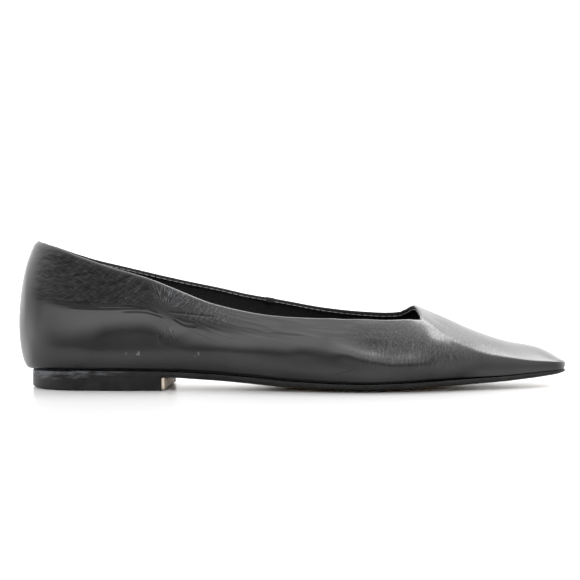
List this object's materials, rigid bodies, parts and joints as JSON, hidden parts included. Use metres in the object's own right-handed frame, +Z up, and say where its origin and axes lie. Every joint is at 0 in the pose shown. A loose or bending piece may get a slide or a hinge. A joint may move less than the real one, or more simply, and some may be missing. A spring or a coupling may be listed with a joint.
{
  "type": "square toe pump",
  "caption": "Low-heeled black leather pump with a tapered square toe, low-cut open collar, thin sole with arch and toe spring, and a low block heel.",
  "frame": {"origin": "middle of the shoe's box, on the floor that it stands on", "axes": "+X from heel to toe, +Y towards the inner side of the foot, +Z up"},
  "size_m": [0.264, 0.0828, 0.0697],
  "materials": {
    "upper_leather": "smooth semi-gloss black, creased with wear",
    "lining_leather": "matte black lining",
    "sole_leather": "tan underside, black edge, worn",
    "heel_black": "black painted stack, scuffed grey at the top",
    "breast_tan": "bare tan, smudged"
  },
  "bodies": {
    "root": {"upper": "upper_leather", "insole": "lining_leather", "outsole": "sole_leather", "heel_block": "heel_black", "heel_breast": "breast_tan"}
  },
  "joints": []
}
